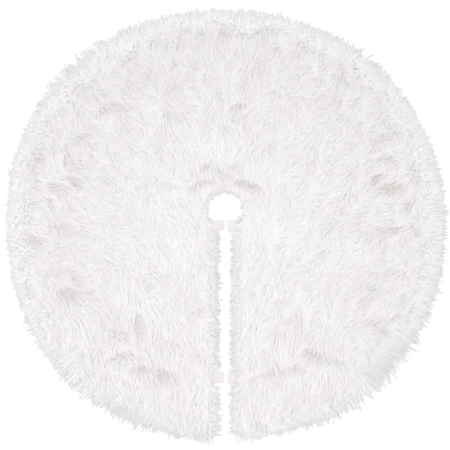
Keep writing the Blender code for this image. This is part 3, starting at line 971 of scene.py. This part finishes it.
def thread_material():
    """Spun polyester thread: two plies that wind round each other."""
    material, tree, shader = new_material("sewing_thread", 0.55, 0.35)
    plies = object_waves(tree, 180.0, math.radians(35), 1.5)
    color = color_ramp(tree, plies, [
        (0.0, (0.72, 0.71, 0.71)), (0.5, (0.9, 0.89, 0.89)), (1.0, (0.95, 0.94, 0.94)),
    ])
    tree.links.new(color, shader.inputs["Base Color"])
    bump(tree, shader, plies, PLY_DEPTH)
    return material


# ---------------------------------------------------------------- stage

CAMERA_TILT = 11.13           # degrees from straight down, seen from the slit's side
CAMERA_DISTANCE = 1.5505
CAMERA_AIM_Y = -0.0424
CAMERA_LENS = 45.15           # mm
SENSOR_WIDTH = 36.0           # mm
WORLD_STRENGTH = 1.26
DISPLAY_GAMMA = 1.6
FLOOR_SHADE = 0.75
FLOOR_REACH = 6.0
SOFTBOX_PLACE = (-0.3, -0.3, 2.8)
SOFTBOX_SIZE = 2.4
SOFTBOX_POWER = 60.0


def add_camera():
    data = bpy.data.cameras.new("camera")
    data.lens = CAMERA_LENS
    data.sensor_width = SENSOR_WIDTH
    camera = bpy.data.objects.new("camera", data)
    tilt = math.radians(CAMERA_TILT)
    y = CAMERA_AIM_Y - CAMERA_DISTANCE * math.sin(tilt)
    camera.location = (0.0, y, CAMERA_DISTANCE * math.cos(tilt))
    camera.rotation_euler = (tilt, 0.0, 0.0)
    bpy.context.scene.collection.objects.link(camera)
    bpy.context.scene.camera = camera


def add_light(name, location, size, power):
    """A round soft light that faces the skirt."""
    data = bpy.data.lights.new(name, "AREA")
    data.shape = "DISK"
    data.size = size
    data.energy = power
    light = bpy.data.objects.new(name, data)
    light.location = location
    light.rotation_euler = (-Vector(location)).to_track_quat("-Z", "Y").to_euler()
    bpy.context.scene.collection.objects.link(light)


def add_stage():
    scene = bpy.context.scene
    scene.view_settings.view_transform = "Standard"
    scene.view_settings.gamma = DISPLAY_GAMMA
    scene.cycles.max_bounces = 16
    scene.cycles.diffuse_bounces = 14
    world = bpy.data.worlds.new("soft_white")
    scene.world = world
    world.use_nodes = True
    background = world.node_tree.nodes["Background"]
    background.inputs["Color"].default_value = (1.0, 1.0, 1.0, 1.0)
    background.inputs["Strength"].default_value = WORLD_STRENGTH
    material, _, shader = new_material("floor_white", 0.9)
    shader.inputs["Base Color"].default_value = (FLOOR_SHADE, FLOOR_SHADE, FLOOR_SHADE, 1.0)
    corners = [(-1, -1), (1, -1), (1, 1), (-1, 1)]
    corners = [(x * FLOOR_REACH, y * FLOOR_REACH, 0) for x, y in corners]
    floor = add_mesh("floor", corners, [(0, 1, 2, 3)], material)
    add_light("softbox", SOFTBOX_PLACE, SOFTBOX_SIZE, SOFTBOX_POWER)


def main():
    add_camera()
    add_stage()
    pile = fur_material()
    fur = top_coat(pile) + undercoat(pile)
    for kind, values in FRINGES.items():
        fur += fringe(kind, pile, **values)
    # The knit backing is grey so that where it shows between strands it reads as shade: a real cloth, with painted
    # shade in its colour.
    knit = woven_material("knit_backing_painted_shade", (0.50, 0.485, 0.485), (0.60, 0.58, 0.58), KNIT_FINENESS, 0.9)
    weave = woven_material("lining_weave", (0.36, 0.36, 0.365), (0.44, 0.44, 0.445), LINING_FINENESS, 0.55)
    add_cloth(knit, weave)
    # The loop tape is a little lighter than the hook tape, painted light to offset the shade that its loops cast
    # on it.
    tape_materials = {
        "left": woven_material("loop_tape_painted_light", (0.405, 0.37, 0.40), (0.52, 0.48, 0.515), TAPE_RIB, 0.6),
        "right": woven_material("hook_tape", (0.37, 0.335, 0.365), (0.485, 0.445, 0.48), TAPE_RIB, 0.6),
    }
    loop_material = fibre_material("loop_fibre", (0.76, 0.71, 0.75), (0.92, 0.88, 0.92), 0.6)
    hook_material = fibre_material("hook_fibre", (0.42, 0.39, 0.42), (0.55, 0.52, 0.55), 0.35)
    for place in PLACES:
        for side, fibre in (("left", loop_material), ("right", hook_material)):
            add_tape(place, side, tape_materials[side])
            add_fastening(place, side, fibre)
    thread = thread_material()
    for name, node in frame["nodes"].items():
        if "seam" in name or "stitch" in name:
            node.data.materials.clear()
            node.data.materials.append(thread)


main()
